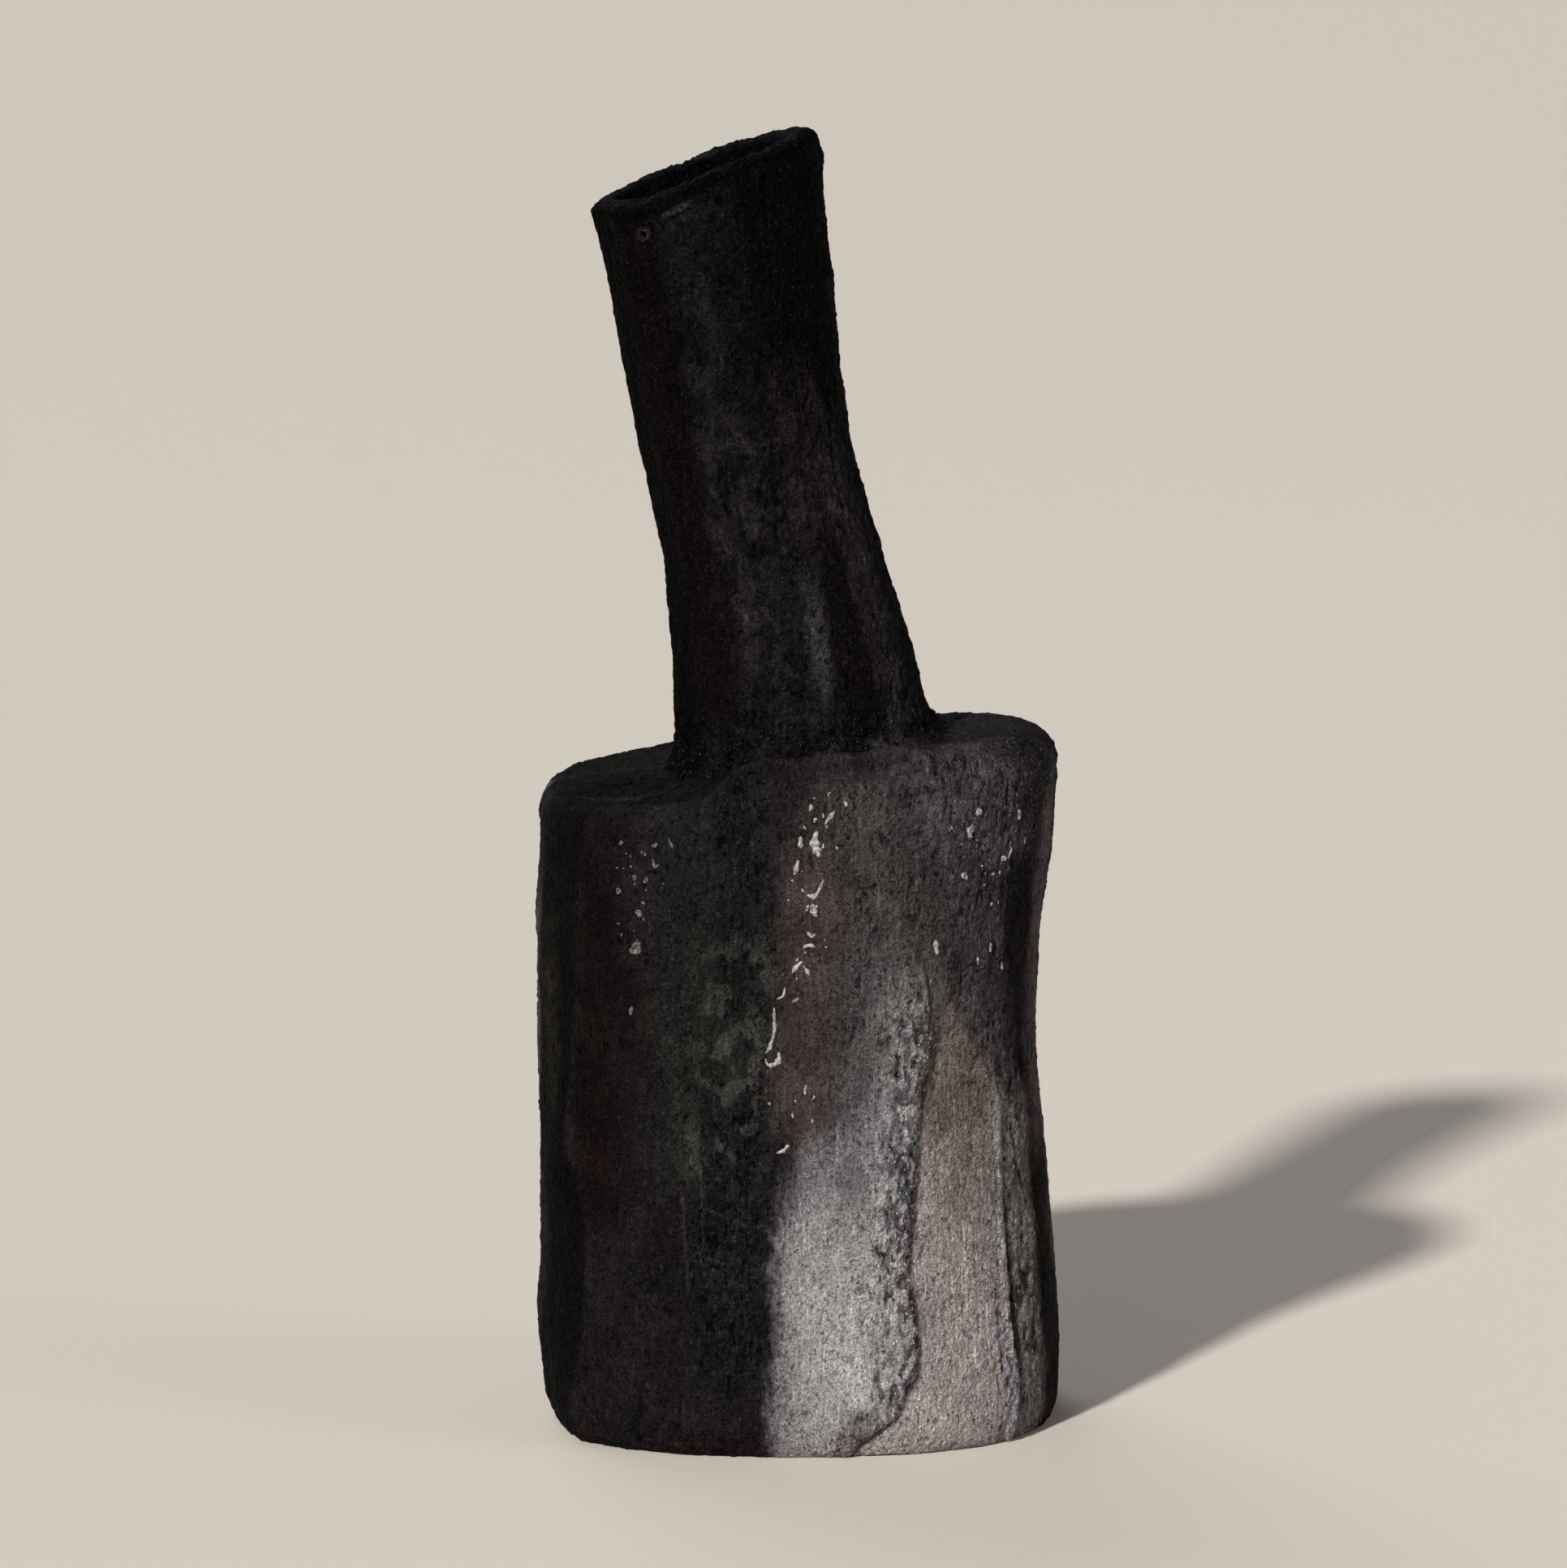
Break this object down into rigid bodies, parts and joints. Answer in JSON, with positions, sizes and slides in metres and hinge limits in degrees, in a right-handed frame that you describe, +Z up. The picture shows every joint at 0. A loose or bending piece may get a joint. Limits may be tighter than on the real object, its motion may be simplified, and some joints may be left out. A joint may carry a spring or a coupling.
{
  "type": "clay bottle vase",
  "caption": "Hand-built matte black clay bottle vase: a rounded square body, a tilted shoulder and a tall leaning neck with an open mouth.",
  "frame": {"origin": "middle of the flat foot, on the surface that the pot stands on", "axes": "+Z up, +X to the pot's right, where the shoulder is higher, and -Y to its front; the neck leans towards -X"},
  "size_m": [0.1214, 0.1042, 0.3001],
  "materials": {
    "black_clay": "matte grogged black clay with vertical grey, plum and ochre slip streaks",
    "raw_clay": "matte black clay, unstreaked",
    "white_slip": "dried white slip, slightly shiny"
  },
  "bodies": {
    "root": {"base_slab": "black_clay", "base_luting_coil": "raw_clay", "wall_slab_front": "black_clay", "wall_slab_right": "black_clay", "wall_slab_back": "black_clay", "wall_slab_left": "black_clay", "corner_coil_back_right": "raw_clay", "corner_coil_back_left": "raw_clay", "corner_coil_front_left": "raw_clay", "corner_coil_front_right": "raw_clay", "shoulder_luting_coil": "raw_clay", "shoulder_slab": "black_clay", "neck_collar_coil": "black_clay", "neck_lower_course": "black_clay", "neck_upper_course": "black_clay", "rim_coil": "black_clay", "slip_beads": "white_slip"}
  },
  "joints": []
}
